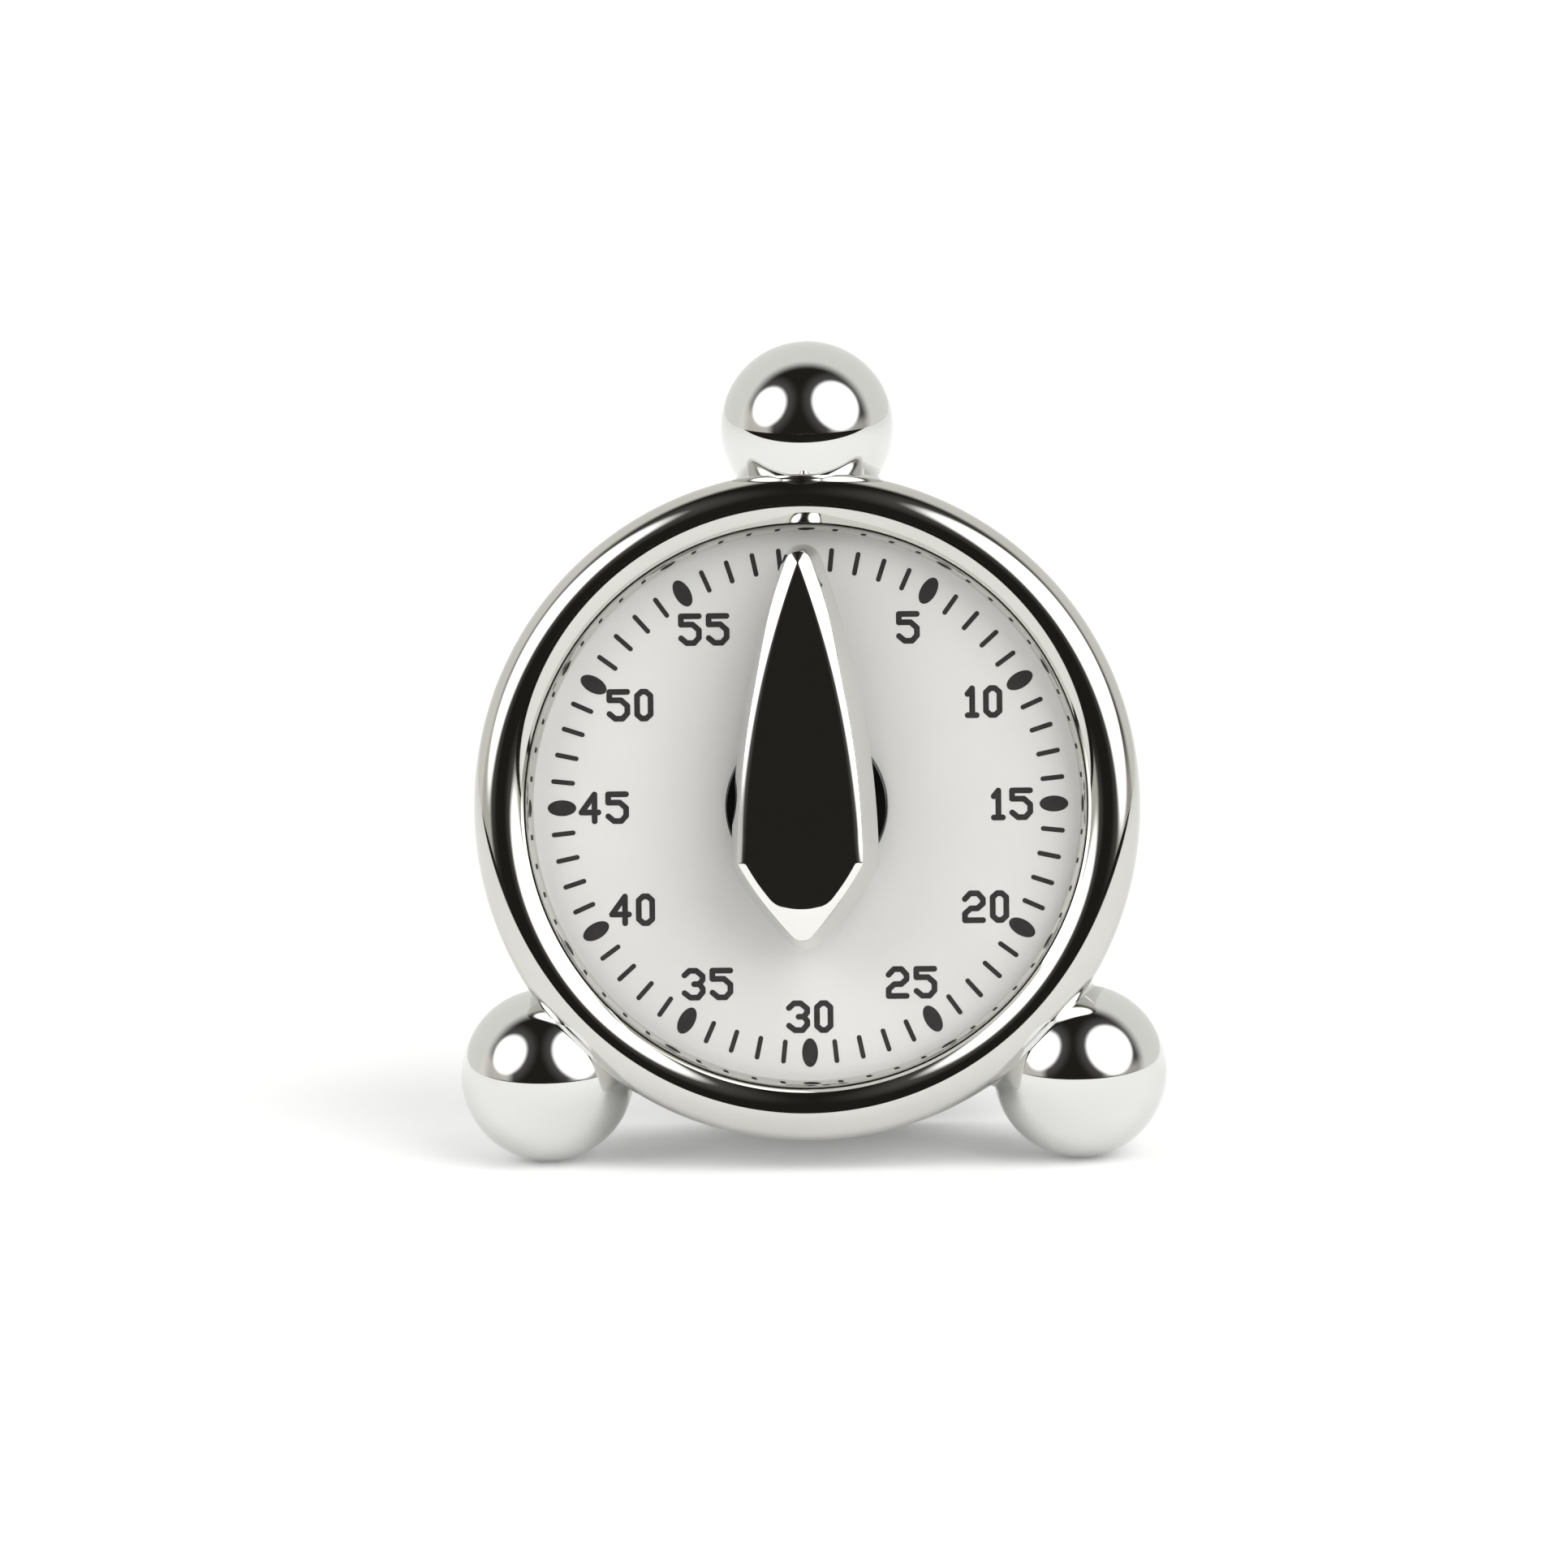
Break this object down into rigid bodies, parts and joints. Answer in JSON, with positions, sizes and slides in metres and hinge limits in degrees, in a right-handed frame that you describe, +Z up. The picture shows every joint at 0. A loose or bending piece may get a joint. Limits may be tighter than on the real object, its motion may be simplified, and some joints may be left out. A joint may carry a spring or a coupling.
{
  "type": "mechanical kitchen timer",
  "caption": "Mechanical minute timer in a round chrome case on ball feet, with a long pointer knob and a clockwork train that rings a bell at zero.",
  "frame": {"origin": "centre of the timer's footprint, on the table", "axes": "+Z up; the dial faces -Y and leans back 9 degrees; +X to the right as the dial is read"},
  "size_m": [0.0828, 0.0457, 0.0948],
  "materials": {
    "case_chrome": "mirror chrome plate",
    "knob_chrome": "mirror chrome plate",
    "hub_black": "gloss black",
    "dial_enamel": "pale satin enamel",
    "cover_plastic": "fine grained black",
    "screw_steel": "zinc plated",
    "plate_brass": "satin",
    "wheel_brass": "polished",
    "arbor_steel": "turned",
    "spring_steel": "blued",
    "lever_steel": "pressed",
    "bell_steel": "satin nickel"
  },
  "bodies": {
    "case": {"bezel_ring": "case_chrome", "case_shell": "case_chrome", "dial_plate": "dial_enamel", "top_ball": "case_chrome", "left_foot": "case_chrome", "right_foot": "case_chrome", "ball_screws": "screw_steel", "rear_cover": "cover_plastic", "cover_screws": "screw_steel", "front_plate": "plate_brass", "rear_plate": "plate_brass", "pillars": "arbor_steel", "pillar_screws": "screw_steel", "movement_screws": "screw_steel", "spring_barrel": "plate_brass", "mainspring": "spring_steel", "stop_pin": "arbor_steel", "bell": "bell_steel", "bell_post": "arbor_steel", "bell_screw": "screw_steel"},
    "knob_and_great_wheel": {"main_arbor": "arbor_steel", "pointer_knob": "knob_chrome", "hub_disc": "hub_black", "great_wheel": "wheel_brass", "winding_click": "spring_steel", "strike_cam": "wheel_brass"},
    "second_gear": {"second_pinion": "arbor_steel", "second_wheel": "wheel_brass"},
    "third_gear": {"third_pinion": "arbor_steel", "third_wheel": "wheel_brass"},
    "escape_gear": {"escape_pinion": "arbor_steel", "escape_wheel": "wheel_brass"},
    "verge_rocker": {"verge_arbor": "arbor_steel", "verge": "lever_steel"},
    "hammer": {"hammer_arbor": "arbor_steel", "hammer_arm": "lever_steel", "hammer_head": "wheel_brass", "hammer_spring": "spring_steel"}
  },
  "joints": [
    {"name": "knob_turn", "type": "hinge", "parent": "case", "child": "knob_and_great_wheel", "pos_m": [0, 0.00129, 0.03985], "axis": [0, 0.9877, -0.1564], "range_deg": [0, 350]},
    {"name": "second_spin", "type": "hinge", "parent": "case", "child": "second_gear", "pos_m": [-0.01353, 0.00052, 0.03498], "axis": [0, 0.9877, -0.1564], "continuous": true},
    {"name": "third_spin", "type": "hinge", "parent": "case", "child": "third_gear", "pos_m": [-0.01333, 0.00222, 0.04573], "axis": [0, 0.9877, -0.1564], "continuous": true},
    {"name": "escape_spin", "type": "hinge", "parent": "case", "child": "escape_gear", "pos_m": [-0.00613, 0.00336, 0.05293], "axis": [0, 0.9877, -0.1564], "continuous": true},
    {"name": "verge_rock", "type": "hinge", "parent": "case", "child": "verge_rocker", "pos_m": [0.00197, 0.00361, 0.05453], "axis": [0, 0.9877, -0.1564], "range_deg": [-4, 4]},
    {"name": "hammer_swing", "type": "hinge", "parent": "case", "child": "hammer", "pos_m": [0.00414, -0.00113, 0.02458], "axis": [0, 0.9877, -0.1564], "range_deg": [0, 6], "stiffness_Nm_per_rad": 0.004, "springref_deg": -4.58}
  ],
  "couplings": [
    {"joint": "second_spin", "follows": "knob_turn", "ratio": -8},
    {"joint": "third_spin", "follows": "knob_turn", "ratio": 60},
    {"joint": "escape_spin", "follows": "knob_turn", "ratio": -432}
  ]
}
